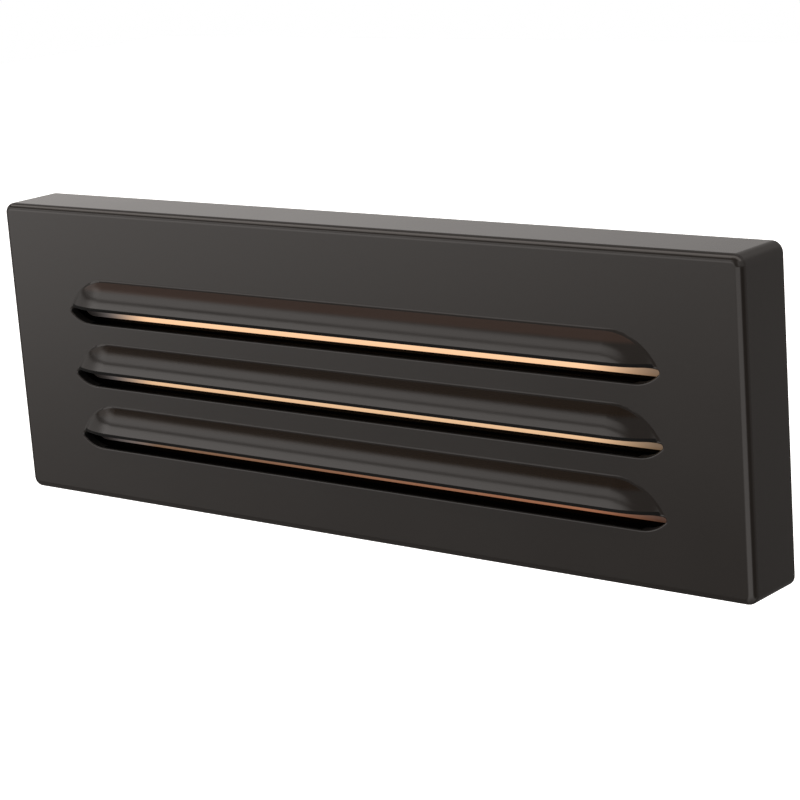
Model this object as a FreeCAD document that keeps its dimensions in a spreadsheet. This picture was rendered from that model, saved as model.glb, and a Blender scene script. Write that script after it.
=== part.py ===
import FreeCAD, Part
import math
import os
import Sketcher

# A louvred step light for outdoor walls: a cast cover with three outward
# hoods, a lens held behind it, and a pan with the lamp board and the driver.
# Frame: X right, Z up, Y into the wall. The wall is the plane y = 0 and the
# origin is at its centre. "Out" means a distance in front of the wall (-Y),
# so what lies inside the wall box has a negative one. All lengths are in mm.

SIZES = {
    # cover
    "cover_wide": 228, "cover_tall": 78, "cover_deep": 17,
    "cover_wall": 2.5, "face_thick": 2.5, "corner_round": 2.6, "rim_round": 1.8,
    "pad_wide": 14, "pad_deep": 5, "pad_tall": 1.6, "pad_spread": 120,
    # louvres
    "louvre_pitch": 16.8, "slots_below": 8.2, "slot_tall": 4.05,
    "slot_run": 7.2, "slot_edge": 0.45, "tip_round": 0.6,
    "hood_wide": 184.6, "hood_tall": 8.15, "hood_proud": 3, "hood_wall": 2,
    "hood_end": 13.8, "crease_round": 1.6, "lip_round": 0.5, "lip_run": 4.3, "tip_drop": 0.85,
    # lens group
    "frame_room": 5, "frame_side_room": 3.5, "frame_thick": 0.8, "frame_lap": 4.5, "frame_ear": 10,
    "lens_thick": 2, "lens_below": 2.2, "seal_thick": 2.5, "seal_margin": 1, "seal_round": 3.2,
    "boss_radius": 2.8, "boss_edge": 4, "boss_pitch": 24,
    # pan and its gasket
    "gasket_thick": 2, "gasket_rail": 7, "gasket_inset": 3,
    "pan_deep": 6.5, "pan_sheet": 1.5, "pan_round": 2, "pan_gap": 0.3,
    "mount_spacing": 83.3, "mount_slot_long": 12, "mount_slot_radius": 2.3,
    # light engine
    "board_end": 13, "board_tall": 10, "board_thick": 1.2, "board_height": 14,
    "thermal_thick": 0.3, "led_pitch": 14, "led_wide": 3.5, "led_tall": 2.8,
    "led_thick": 0.7, "led_per_side": 6,
    "tray_margin": 2, "tray_deep": 4.6, "tray_wall": 0.6,
    "tray_slope": 12, "tray_gap": 1, "plug_wide": 7, "plug_tall": 4.2, "plug_deep": 3,
    # leads
    "lead_radius": 0.8, "lead_spread": 2.6, "lead_bend": 2.6, "lead_height": 1,
    "lead_out": 7, "grommet_radius": 3.4, "grommet_lip": 1, "grommet_rise": 0.8,
    # driver
    "case_wide": 62, "case_tall": 42, "case_deep": 28, "case_wall": 1.8,
    "case_floor": 1.6, "case_round": 3, "lid_thick": 2,
    "post_radius": 3.4, "post_inset": 5, "case_screw_drop": 13, "case_screw_long": 6, "case_post_long": 5,
    "circuit_edge": 2.5, "circuit_thick": 1.6, "circuit_rise": 4,
    "stake_radius": 2, "stake_pin": 0.8, "pin_proud": 1, "stake_wide": 37, "stake_tall": 29,
    "core_wide": 16, "core_tall": 14, "core_deep": 13, "bobbin_wide": 10,
    "bobbin_proud": 1.5, "bobbin_round": 1.8, "core_right": -8, "core_up": 4,
    "capacitor_radius": 5, "capacitor_long": 15, "capacitor_right": 11, "capacitor_up": 8,
    "choke_radius": 3.5, "choke_long": 9, "choke_right": 12, "choke_up": -9.5,
    "pole_count": 3, "terminal_tall": 10, "terminal_deep": 11,
    "flange_thick": 1.2, "flange_lip": 1.5,
    "entry_radius": 1.6, "entry_deep": 9, "entry_pitch": 5.5, "wire_radius": 0.7,
    # fasteners
    "set_radius": 2, "set_long": 4, "set_socket": 1, "set_touch": 0.1, "set_out": 6,
    "small_radius": 1.2, "small_head": 2.3, "small_head_tall": 1.4, "small_long": 4,
    "ground_radius": 2, "ground_head": 4.2, "ground_head_tall": 3, "ground_long": 2.8,
    "ground_right": -62, "ground_drop": 20, "hole_gap": 0.06, "part_gap": 0.2,
}

doc = FreeCAD.newDocument("step_light")
sheet = doc.addObject("Spreadsheet::Sheet", "Sizes")
for row, (alias, number) in enumerate(SIZES.items(), start=1):
    sheet.set(f"A{row}", alias)
    sheet.set(f"B{row}", str(number))
    sheet.setAlias(f"B{row}", alias)
doc.recompute()


class Size:
    """A number together with the spreadsheet expression that gives it."""

    def __init__(self, value, text):
        self.value = float(value)
        self.text = text

    def __float__(self):
        return self.value

    def __add__(self, other):
        return joined(self, "+", other, float(self) + float(other))

    def __sub__(self, other):
        return joined(self, "-", other, float(self) - float(other))

    def __mul__(self, other):
        return joined(self, "*", other, float(self) * float(other))

    def __truediv__(self, other):
        return joined(self, "/", other, float(self) / float(other))

    def __neg__(self):
        return self * -1


def joined(first, sign, second, value):
    """The size that an arithmetic step on two sizes gives."""
    texts = [item.text if isinstance(item, Size) else f"({item})" for item in (first, second)]
    return Size(value, f"({texts[0]} {sign} {texts[1]})")


def size(alias):
    """A driving dimension from the sheet."""
    return Size(sheet.get(alias), f"Sizes.{alias}")


ZERO = Size(0, "0")


def bind(thing, prop, amount):
    """Tie a property to the sheet."""
    thing.setExpression(prop, amount.text if isinstance(amount, Size) else str(amount))


# ---------------------------------------------------------------- sketching

def new_body(label):
    body = doc.addObject("PartDesign::Body", label)
    body.Label = label
    return body


def new_sketch(body, out):
    """A sketch parallel to the wall, at a distance in front of it."""
    sketch = body.newObject("Sketcher::SketchObject", f"{body.Name}_outline")
    plane = next(item for item in body.Origin.OriginFeatures if item.Role == "XZ_Plane")
    sketch.AttachmentSupport = [(plane, "")]
    sketch.MapMode = "FlatFace"
    bind(sketch, "AttachmentOffset.Base.z", out)
    return sketch


def held(sketch, kind, indices, amount):
    """Add a sized constraint and tie it to the sheet."""
    number = sketch.addConstraint(Sketcher.Constraint(kind, *indices, float(amount)))
    if isinstance(amount, Size):
        bind(sketch, f"Constraints[{number}]", amount)


def rounded(sketch, wide, tall, right=ZERO, up=ZERO, corner=None):
    """A rectangle about (right, up); with a corner radius its corners are arcs."""
    half_x, half_z = float(wide) / 2, float(tall) / 2
    mid_x, mid_z, radius = float(right), float(up), float(corner or 0)
    signs = [(-1, -1), (1, -1), (1, 1), (-1, 1)]
    centres = [(mid_x + sx * (half_x - radius), mid_z + sz * (half_z - radius)) for sx, sz in signs]
    first = sketch.GeometryCount
    for index in range(4):
        turn = math.radians(90 * index)
        ends = []
        for x, z in (centres[index], centres[(index + 1) % 4]):
            ends.append(FreeCAD.Vector(x + radius * math.sin(turn), z - radius * math.cos(turn), 0))
        sketch.addGeometry(Part.LineSegment(*ends), False)
    if not corner:
        for index in range(4):
            following = first + (index + 1) % 4
            sketch.addConstraint(Sketcher.Constraint("Coincident", first + index, 2, following, 1))
    else:
        for index in range(4):
            x, z = centres[(index + 1) % 4]
            circle = Part.Circle(FreeCAD.Vector(x, z, 0), FreeCAD.Vector(0, 0, 1), radius)
            start = math.radians(90 * index - 90)
            sketch.addGeometry(Part.ArcOfCircle(circle, start, start + math.pi / 2), False)
        for index in range(4):
            arc = first + 4 + index
            following = first + (index + 1) % 4
            sketch.addConstraint(Sketcher.Constraint("Tangent", first + index, 2, arc, 1))
            sketch.addConstraint(Sketcher.Constraint("Tangent", arc, 2, following, 1))
            if index:
                sketch.addConstraint(Sketcher.Constraint("Equal", first + 4, arc))
        held(sketch, "Radius", (first + 4,), corner)
    for index, kind in enumerate(("Horizontal", "Vertical", "Horizontal", "Vertical")):
        sketch.addConstraint(Sketcher.Constraint(kind, first + index))
    held(sketch, "DistanceX", (first + 3, 1, first + 1, 1), wide)
    held(sketch, "DistanceY", (first, 1, first + 2, 1), tall)
    held(sketch, "DistanceX", (-1, 1, first + 1, 1), right + wide / 2)
    held(sketch, "DistanceY", (-1, 1, first + 2, 1), up + tall / 2)


def round_hole(sketch, radius, right=ZERO, up=ZERO):
    centre = FreeCAD.Vector(float(right), float(up), 0)
    circle = Part.Circle(centre, FreeCAD.Vector(0, 0, 1), float(radius))
    number = sketch.addGeometry(circle, False)
    held(sketch, "Radius", (number,), radius)
    held(sketch, "DistanceX", (-1, 1, number, 3), right)
    held(sketch, "DistanceY", (-1, 1, number, 3), up)


def raise_pad(body, sketch, thick):
    """Solid from the sketch, growing away from the wall."""
    pad = body.newObject("PartDesign::Pad", f"{body.Name}_pad")
    pad.Profile = sketch
    bind(pad, "Length", thick)
    body.Tip = pad
    doc.recompute()
    return pad


def cut_pocket(body, sketch, deep, outward=True, slope=None):
    """Remove the sketch from the body and make sure that something was cut."""
    before = body.Shape.Volume
    pocket = body.newObject("PartDesign::Pocket", f"{body.Name}_pocket")
    pocket.Profile = sketch
    pocket.Reversed = outward
    bind(pocket, "Length", deep)
    if slope:
        bind(pocket, "TaperAngle", slope)
    body.Tip = pocket
    doc.recompute()
    if body.Shape.Volume > before - 0.01:
        raise RuntimeError(f"a pocket of {body.Label} cut nothing")
    return pocket


def round_edges(body, radius, choose):
    """Fillet the edges of the body that the chooser accepts."""
    names = [f"Edge{i}" for i, edge in enumerate(body.Shape.Edges, start=1) if choose(edge)]
    base = body.Tip
    fillet = body.newObject("PartDesign::Fillet", f"{body.Name}_fillet")
    fillet.Base = (base, names)
    bind(fillet, "Radius", radius)
    body.Tip = fillet
    doc.recompute()
    return fillet


# ------------------------------------------------------------- plain solids

def feature(label, shape):
    """A piece whose shape comes from Part's own functions."""
    thing = doc.addObject("Part::Feature", label)
    thing.Label = label
    thing.Shape = shape
    return thing


def place(right, out, up):
    """A point from its distance to the right, out of the wall and upward."""
    return FreeCAD.Vector(float(right), -float(out), float(up))


def rod(radius, long, start, direction):
    return Part.makeCylinder(float(radius), float(long), start, direction)


def slab(right, out, up, wide, thick, tall):
    """A box about (right, up) whose back lies at a distance out of the wall."""
    left, front, low = float(right) - float(wide) / 2, float(out) + float(thick), float(up) - float(tall) / 2
    corner = place(left, front, low)
    return Part.makeBox(float(wide), float(thick), float(tall), corner)


OUTWARD = FreeCAD.Vector(0, -1, 0)
INWARD = FreeCAD.Vector(0, 1, 0)
UPWARD = FreeCAD.Vector(0, 0, 1)


def pan_screw(seat, inward, radius, head, head_tall, long):
    """A pan-head screw: its head stands on the seat, its shank goes inward."""
    radius, head, head_tall, long = (float(item) for item in (radius, head, head_tall, long))
    crown = head_tall * 0.55
    points = [
        FreeCAD.Vector(0, 0, -long), FreeCAD.Vector(radius, 0, -long),
        FreeCAD.Vector(radius, 0, 0), FreeCAD.Vector(head, 0, 0),
        FreeCAD.Vector(head, 0, head_tall - crown),
    ]
    top = FreeCAD.Vector(0, 0, head_tall)
    middle = FreeCAD.Vector(head * 0.72, 0, head_tall - crown * 0.42)
    edges = [Part.makeLine(a, b) for a, b in zip(points, points[1:])]
    edges.append(Part.Arc(points[-1], middle, top).toShape())
    edges.append(Part.makeLine(top, points[0]))
    outline = Part.Face(Part.Wire(edges))
    solid = outline.revolve(FreeCAD.Vector(0, 0, 0), UPWARD, 360)
    slot_corner = FreeCAD.Vector(-head * 0.75, -head * 0.15, crown)
    slot = Part.makeBox(head * 1.5, head * 0.3, head_tall, slot_corner)
    cross = slot.copy()
    cross.rotate(FreeCAD.Vector(0, 0, 0), UPWARD, 90)
    solid = solid.cut(slot.fuse(cross))
    solid.Placement = FreeCAD.Placement(seat, FreeCAD.Rotation(UPWARD, inward * -1))
    return solid


# -------------------------------------------------------------------- cover

# tilt from upright of the hood's section at the lip and at the crease, in degrees
LIP_LEAN, CREASE_LEAN = 6.0, 6.0
# how far the hood's skin passes the face before it ends, and other pieces that are fused overlap
BITE, OVERLAP = 0.03, 0.5
ROWS = (1, 0, -1)


def screw_hole():
    """Radius of a hole for a small screw."""
    return size("small_radius") + size("hole_gap")


def hood_outline():
    """Section of a hood: a long bulge up from the lip, then a hollow arc into the face.

    Y is the depth behind the face and Z the height over the lip. Each arc is
    given by the tilt of its two ends from upright, in degrees, and the tilt
    where they meet is the one that fits both the height and the depth.
    """
    tall, proud, crease = (float(size(name)) for name in ("hood_tall", "hood_proud", "crease_round"))
    start, end = math.radians(LIP_LEAN), math.radians(CREASE_LEAN)

    def bulge_radius(turn):
        hollow = crease * (math.cos(end) - math.cos(turn))
        return (proud + BITE - hollow) / (math.cos(start) - math.cos(turn))

    low, high = start * 1.1, math.radians(80)
    for _ in range(60):
        turn = (low + high) / 2
        rise = bulge_radius(turn) * (math.sin(turn) - math.sin(start))
        if rise + crease * (math.sin(turn) - math.sin(end)) > tall:
            low = turn
        else:
            high = turn

    spot = FreeCAD.Vector(0, -proud, 0)
    edges = []
    for radius, first, last in ((bulge_radius(turn), start, turn), (-crease, turn, end)):
        points = []
        for angle in (first, (first + last) / 2, last):
            depth = radius * (math.cos(first) - math.cos(angle))
            rise = radius * (math.sin(angle) - math.sin(first))
            points.append(spot + FreeCAD.Vector(0, depth, rise))
        edges.append(Part.Arc(*points).toShape())
        spot = points[-1]
    return edges


def hood_centre():
    """Distance under the lip of the centres that the hood's ends turn about.

    The ends are as wide as hood_end where they meet the face, tip_drop under
    the lip, and their radius carries on from the top of the section.
    """
    tall, reach, drop = (float(size(name)) for name in ("hood_tall", "hood_end", "tip_drop"))
    return (reach ** 2 + drop ** 2 - tall ** 2) / (2 * (tall + drop))


def hood_form(edges, sink):
    """The section's outline drawn out along X, and turned about its centre at both ends."""
    under = -hood_centre()
    first = edges[0].valueAt(edges[0].FirstParameter)
    last = edges[-1].valueAt(edges[-1].LastParameter)
    corners = [last, FreeCAD.Vector(0, sink, last.z), FreeCAD.Vector(0, sink, under),
               FreeCAD.Vector(0, first.y, under), first]
    lines = [Part.makeLine(a, b) for a, b in zip(corners, corners[1:])]
    section = Part.Face(Part.Wire(edges + lines))
    straight = float(size("hood_wide")) / 2 - float(size("hood_end"))
    ends = []
    for side in (-1, 1):
        end = section.revolve(FreeCAD.Vector(0, 0, under), INWARD, side * 90)
        end.translate(FreeCAD.Vector(side * straight, 0, 0))
        ends.append(end)
    section.translate(FreeCAD.Vector(-straight, 0, 0))
    return section.extrude(FreeCAD.Vector(2 * straight, 0, 0)).fuse(ends).removeSplitter()


def make_hood():
    """A long hood with round ends on the plane y = 0, its lip at z = 0 and rounded."""
    half, run, drop = (float(size(name)) for name in ("hood_wide", "lip_run", "tip_drop"))
    half, flat = half / 2, half / 2 - run
    radius = (run ** 2 + drop ** 2) / (2 * drop)
    lean = math.asin(run / radius) / 2
    far, low = half * 1.1, -4 * float(size("hood_tall"))
    points = []
    for side in (-1, 1):
        outer = FreeCAD.Vector(side * half, 0, -drop)
        middle = FreeCAD.Vector(side * (flat + radius * math.sin(lean)), 0, radius * (math.cos(lean) - 1))
        points.append((outer, middle, FreeCAD.Vector(side * flat, 0, 0)))
    (left_tip, left_mid, left_end), (right_tip, right_mid, right_end) = points
    edges = [Part.Arc(left_tip, left_mid, left_end).toShape(), Part.makeLine(left_end, right_end),
             Part.Arc(right_end, right_mid, right_tip).toShape()]
    fall = drop + (far - half) * math.tan(2 * lean)
    corners = [right_tip, FreeCAD.Vector(far, 0, -fall), FreeCAD.Vector(far, 0, low),
               FreeCAD.Vector(-far, 0, low), FreeCAD.Vector(-far, 0, -fall), left_tip]
    edges += [Part.makeLine(a, b) for a, b in zip(corners, corners[1:])]
    proud, sink = float(size("hood_proud")), float(size("face_thick")) / 2
    under = Part.Face(Part.Wire(edges)).extrude(FreeCAD.Vector(0, 2 * (proud + sink), 0))
    under.translate(FreeCAD.Vector(0, -proud - sink, 0))
    hood = hood_form(hood_outline(), sink).cut(under).Solids[0]
    lip = [edge for edge in hood.Edges
           if edge.BoundBox.ZMax < 0.01 and edge.BoundBox.YMin < -0.05 and edge.BoundBox.YMax < 2 * BITE]
    return hood.makeFillet(float(size("lip_round")), lip)


def make_hood_hollow():
    """The room inside a hood, one wall's thickness in from its skin."""
    wall = float(size("hood_wall"))
    proud, tall = float(size("hood_proud")) - wall, float(size("hood_tall")) - wall
    radius = (tall ** 2 + proud ** 2) / (2 * proud)
    lean = math.asin(tall / radius) / 2
    bulge = Part.Arc(FreeCAD.Vector(0, -proud, 0),
                     FreeCAD.Vector(0, -proud + radius * (1 - math.cos(lean)), radius * math.sin(lean)),
                     FreeCAD.Vector(0, 0, tall))
    hollow = hood_form([bulge.toShape()], float(size("face_thick")) * 1.2)
    drop = float(size("tip_drop"))
    under = slab(0, -2 * drop - float(size("face_thick")), -drop - tall, size("hood_wide") * 2,
                 proud + drop * 3 + float(size("face_thick")) * 2, tall * 2)
    return hollow.cut(under)


def slot_outline(sketch, low):
    """A louvre's slot: level edges whose ends curve together into a pointed tip."""
    half, run, lip_run = size("hood_wide") / 2, size("slot_run"), size("lip_run")
    top, tip = low + size("slot_tall"), low + size("slot_tall") - size("tip_drop")
    lower = sagged_arc(half - run, low, half, tip, 1)
    upper = sagged_arc(half, tip, half - lip_run, top, -1)
    mirrored = []
    for arc in (upper, lower):
        mirrored.append([FreeCAD.Vector(-point.x, point.y, 0) for point in reversed(arc)])
    first = sketch.GeometryCount
    sketch.addGeometry(Part.LineSegment(mirrored[1][-1], lower[0]), False)
    sketch.addGeometry(Part.ArcOfCircle(*lower), False)
    sketch.addGeometry(Part.ArcOfCircle(*upper), False)
    sketch.addGeometry(Part.LineSegment(upper[-1], mirrored[0][0]), False)
    sketch.addGeometry(Part.ArcOfCircle(*mirrored[0]), False)
    sketch.addGeometry(Part.ArcOfCircle(*mirrored[1]), False)
    for index, kind in enumerate(("Tangent", "Coincident", "Tangent", "Tangent", "Coincident", "Tangent")):
        following = first + (index + 1) % 6
        sketch.addConstraint(Sketcher.Constraint(kind, first + index, 2, following, 1))
    for line in (first, first + 3):
        sketch.addConstraint(Sketcher.Constraint("Horizontal", line))
    sketch.addConstraint(Sketcher.Constraint("Horizontal", first + 4, 2, first + 1, 2))
    held(sketch, "DistanceX", (first, 1, first, 2), (half - run) * 2)
    held(sketch, "DistanceX", (-1, 1, first, 2), half - run)
    held(sketch, "DistanceY", (-1, 1, first, 2), low)
    held(sketch, "DistanceX", (first + 4, 2, first + 1, 2), half * 2)
    held(sketch, "DistanceX", (-1, 1, first + 1, 2), half)
    held(sketch, "DistanceY", (first, 2, first + 1, 2), tip - low)
    held(sketch, "DistanceX", (first + 3, 2, first + 3, 1), (half - lip_run) * 2)
    held(sketch, "DistanceX", (-1, 1, first + 3, 1), half - lip_run)
    held(sketch, "DistanceY", (first, 2, first + 3, 1), top - low)


def sagged_arc(from_x, from_z, to_x, to_z, flat_end):
    """Three points of an arc that is level at its first end (1) or at its last (-1)."""
    start, end = (FreeCAD.Vector(float(x), float(z), 0) for x, z in ((from_x, from_z), (to_x, to_z)))
    level, other = (start, end) if flat_end > 0 else (end, start)
    run, rise = other.x - level.x, other.y - level.y
    radius = (run ** 2 + rise ** 2) / (2 * rise)
    lean = math.asin(run / radius) / 2
    middle = level + FreeCAD.Vector(radius * math.sin(lean), radius * (1 - math.cos(lean)), 0)
    return [start, middle, end]


def slot_low(row):
    """Height of a louvre's sill; row is 1 for the top one, 0 and -1."""
    return size("louvre_pitch") * row - size("slots_below")


def make_cover():
    """The cast cover: a shallow box with three hoods, screw bosses and guide pads."""
    wide, tall, deep = size("cover_wide"), size("cover_tall"), size("cover_deep")
    wall, face = size("cover_wall"), size("face_thick")
    shell = new_body("cover_shell")
    outside = new_sketch(shell, ZERO)
    rounded(outside, wide, tall, corner=size("corner_round"))
    raise_pad(shell, outside, deep)
    front = -float(deep)
    round_edges(shell, size("rim_round"),
                lambda edge: all(abs(vertex.Y - front) < 0.01 for vertex in edge.Vertexes))
    inside = new_sketch(shell, ZERO)
    rounded(inside, wide - wall * 2, tall - wall * 2, corner=size("corner_round") / 2)
    cut_pocket(shell, inside, deep - face)
    slots = new_sketch(shell, deep - face)
    for row in ROWS:
        slot_outline(slots, slot_low(row))
    cut_pocket(shell, slots, face)
    tip = float(size("hood_wide")) / 2
    round_edges(shell, size("tip_round"),
                lambda edge: all(abs(abs(vertex.X) - tip) < 0.001 for vertex in edge.Vertexes))
    rim = float(tall) / 2 - float(wall)
    round_edges(shell, size("slot_edge"),
                lambda edge: all(abs(vertex.Y - front) < 0.001 and abs(vertex.X) < tip
                                 and abs(vertex.Z) < rim for vertex in edge.Vertexes))

    added, removed = [shell], []
    hood, hollow = make_hood(), make_hood_hollow()
    for row in ROWS:
        spot = place(0, deep, slot_low(row) + size("slot_tall"))
        for name, shape, group in (("hood", hood, added), ("hood_hollow", hollow, removed)):
            moved = shape.copy()
            moved.translate(spot)
            group.append(feature(name, moved))

    face_back = float(deep - face)
    boss_top = float(lens_front() - size("lens_thick"))
    for right, up in boss_places():
        boss = rod(size("boss_radius"), face_back + OVERLAP - boss_top, place(right, boss_top, up), OUTWARD)
        added.append(feature("frame_boss", boss))
        hole = rod(screw_hole(), size("small_long"), place(right, boss_top, up), OUTWARD)
        removed.append(feature("frame_boss_hole", hole))
    reach = float(tall) / 2 - float(wall) - float(size("pad_tall")) / 2 + OVERLAP / 2
    for side in (-1, 1):
        right = size("pad_spread") / 2 * side
        for level in (-1, 1):
            pad = slab(right, size("set_out") - size("pad_deep") / 2, level * reach,
                       size("pad_wide"), size("pad_deep"), size("pad_tall") + OVERLAP)
            added.append(feature("guide_pad", pad))
        bore = rod(size("set_radius") + size("hole_gap"), tall / 4,
                   place(right, size("set_out"), tall / -2 - 1), UPWARD)
        removed.append(feature("set_screw_bore", bore))

    cast = doc.addObject("Part::MultiFuse", "cover_cast")
    cast.Shapes = added
    openings = doc.addObject("Part::MultiFuse", "cover_openings")
    openings.Shapes = removed
    cover = doc.addObject("Part::Cut", "cover")
    cover.Base = cast
    cover.Tool = openings
    cover.Refine = True
    return cover


def boss_places():
    """Where the six screws of the lens frame go."""
    pitch, below = float(size("boss_pitch")), float(size("lens_below"))
    return [(side * float(boss_right()), row * pitch - below) for side in (-1, 1) for row in (-1, 0, 1)]


# ---------------------------------------------------------------- lens group

def frame_wide():
    return size("cover_wide") - size("cover_wall") * 2 - size("frame_side_room") * 2


def frame_tall():
    return size("cover_tall") - size("cover_wall") * 2 - size("frame_room") * 2


def lens_wide():
    return frame_wide() - size("frame_ear") * 2


def lens_tall():
    return frame_tall() - size("frame_lap") * 2


def boss_right():
    """Distance of the frame's screws from the middle."""
    return frame_wide() / 2 - size("boss_edge")


def lens_front():
    return size("cover_deep") - size("face_thick") - size("seal_thick")


def make_lens_seal():
    """Black foam seal between the face and the lens, open behind each louvre."""
    seal = new_body("lens_seal")
    margin = size("seal_margin") * 2
    outline = new_sketch(seal, lens_front())
    below = -size("lens_below")
    rounded(outline, lens_wide() + margin, lens_tall() + margin, up=below)
    window_tall = size("slot_tall") + size("hood_tall") - size("hood_wall")
    for row in ROWS:
        middle = slot_low(row) + window_tall / 2
        rounded(outline, size("hood_wide"), window_tall, up=middle, corner=size("seal_round"))
    raise_pad(seal, outline, size("seal_thick"))
    return seal


def make_lens():
    """Opal lens plate."""
    lens = new_body("lens")
    outline = new_sketch(lens, lens_front() - size("lens_thick"))
    rounded(outline, lens_wide(), lens_tall(), up=-size("lens_below"), corner=size("corner_round"))
    raise_pad(lens, outline, size("lens_thick"))
    return lens


def make_lens_frame():
    """Stamped frame that presses the lens against its seal."""
    frame = new_body("lens_frame")
    back = lens_front() - size("lens_thick") - size("frame_thick")
    outline = new_sketch(frame, back)
    below, lap = -size("lens_below"), size("frame_lap") * 2
    rounded(outline, frame_wide(), frame_tall(), up=below, corner=size("corner_round"))
    rounded(outline, lens_wide() - lap, lens_tall() - lap, up=below, corner=size("corner_round"))
    for side in (-1, 1):
        for row in (-1, 0, 1):
            round_hole(outline, screw_hole(),
                       boss_right() * side, below + size("boss_pitch") * row)
    raise_pad(frame, outline, size("frame_thick"))
    return frame


def small_screws(label, places, out, long=None):
    """Small pan-head screws whose heads all stand on one plane; places are (right, up, inward)."""
    solids = []
    for right, up, inward in places:
        solids.append(pan_screw(place(right, out, up), inward, size("small_radius"), size("small_head"),
                                size("small_head_tall"), long or size("small_long")))
    return feature(label, Part.makeCompound(solids))


def make_frame_screws():
    back = lens_front() - size("lens_thick") - size("frame_thick")
    places = [(right, up, OUTWARD) for right, up in boss_places()]
    return small_screws("lens_frame_screws", places, back)


def make_set_screw(side):
    """Headless screw in the cover's lower edge, with a hexagon socket below."""
    name = "right" if side > 0 else "left"
    tip = pan_bottom() - float(size("set_touch"))
    right = side * float(size("pad_spread")) / 2
    long, radius = float(size("set_long")), float(size("set_radius"))
    body = rod(radius, long, place(right, size("set_out"), tip - long), UPWARD)
    low_edge = [edge for edge in body.Edges
                if edge.Closed and abs(edge.CenterOfMass.z - tip + long) < 0.01]
    body = body.makeChamfer(radius / 8, low_edge)
    across = float(size("set_socket"))
    corners = []
    for index in range(7):
        angle = math.radians(60 * index)
        corners.append(place(right + across / math.cos(math.pi / 6) * math.cos(angle),
                             float(size("set_out")) + across / math.cos(math.pi / 6) * math.sin(angle),
                             tip - long - 1))
    socket = Part.Face(Part.makePolygon(corners)).extrude(FreeCAD.Vector(0, 0, 1 + long / 2))
    return feature(f"set_screw_{name}", body.cut(socket))


def pan_bottom():
    """Height of the pan's lower flange, where the set screws press."""
    return -float(pan_tall()) / 2


def pan_tall():
    return size("cover_tall") - size("cover_wall") * 2 - size("pad_tall") * 2 - size("pan_gap") * 2


def pan_wide():
    return size("cover_wide") - size("cover_wall") * 2 - size("pan_gap") * 2


# ----------------------------------------------------------------------- pan

def slot_hole(sketch, long, radius, right, up=ZERO):
    """A level slot with round ends."""
    reach = float(long) / 2 - float(radius)
    x, z, r = float(right), float(up), float(radius)
    first = sketch.GeometryCount
    for side, start in ((1, -90), (-1, 90)):
        centre = FreeCAD.Vector(x + side * reach, z, 0)
        circle = Part.Circle(centre, FreeCAD.Vector(0, 0, 1), r)
        arc = Part.ArcOfCircle(circle, math.radians(start), math.radians(start + 180))
        sketch.addGeometry(arc, False)
    for side in (1, -1):
        ends = [FreeCAD.Vector(x + end * side * reach, z + side * r, 0) for end in (1, -1)]
        sketch.addGeometry(Part.LineSegment(*ends), False)
    for line, arc, other in ((first + 2, first, first + 1), (first + 3, first + 1, first)):
        sketch.addConstraint(Sketcher.Constraint("Tangent", arc, 2, line, 1))
        sketch.addConstraint(Sketcher.Constraint("Tangent", line, 2, other, 1))
    sketch.addConstraint(Sketcher.Constraint("Equal", first, first + 1))
    sketch.addConstraint(Sketcher.Constraint("Horizontal", first + 2))
    held(sketch, "Radius", (first,), radius)
    held(sketch, "DistanceX", (first + 1, 3, first, 3), long - radius * 2)
    held(sketch, "DistanceX", (-1, 1, first, 3), right + long / 2 - radius)
    held(sketch, "DistanceY", (-1, 1, first, 3), up)


def board_screw_places():
    """Four screws along the lamp board, each half a pitch past a lamp."""
    first = size("led_pitch") * 3
    return [(first * sign, size("board_height")) for sign in (-2, -1, 1, 2)]


def case_screw_places():
    reach = size("case_wide") / 2 - size("post_inset")
    return [(reach * side, -size("case_screw_drop")) for side in (-1, 1)]


def make_pan():
    """Drawn steel pan that is screwed to the wall box and carries everything else."""
    pan = new_body("mounting_pan")
    back = size("gasket_thick")
    outline = new_sketch(pan, back)
    rounded(outline, pan_wide(), pan_tall(), corner=size("pan_round"))
    raise_pad(pan, outline, size("pan_deep"))
    sheet_thick = size("pan_sheet")
    inside = new_sketch(pan, back + sheet_thick)
    rounded(inside, pan_wide() - sheet_thick * 2, pan_tall() - sheet_thick * 2,
            corner=size("pan_round") / 2)
    cut_pocket(pan, inside, size("pan_deep") - sheet_thick)
    holes = new_sketch(pan, back)
    for side in (-1, 1):
        slot_hole(holes, size("mount_slot_long"), size("mount_slot_radius"),
                  size("mount_spacing") / 2 * side)
    gap = size("hole_gap")
    round_hole(holes, size("grommet_radius") + gap, up=size("lead_height"))
    round_hole(holes, size("ground_radius") + gap, size("ground_right"), -size("ground_drop"))
    for right, up in board_screw_places() + case_screw_places():
        round_hole(holes, size("small_radius") + gap, right, up)
    cut_pocket(pan, holes, sheet_thick)
    return pan


def make_wall_gasket():
    """Soft ring between the pan and the wall."""
    gasket = new_body("wall_gasket")
    outline = new_sketch(gasket, ZERO)
    inset, rail = size("gasket_inset") * 2, size("gasket_rail") * 2
    rounded(outline, pan_wide() - inset, pan_tall() - inset, corner=size("pan_round"))
    rounded(outline, pan_wide() - inset - rail, pan_tall() - inset - rail, corner=size("pan_round"))
    raise_pad(gasket, outline, size("gasket_thick"))
    return gasket


def pan_front():
    return size("gasket_thick") + size("pan_sheet")


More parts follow.
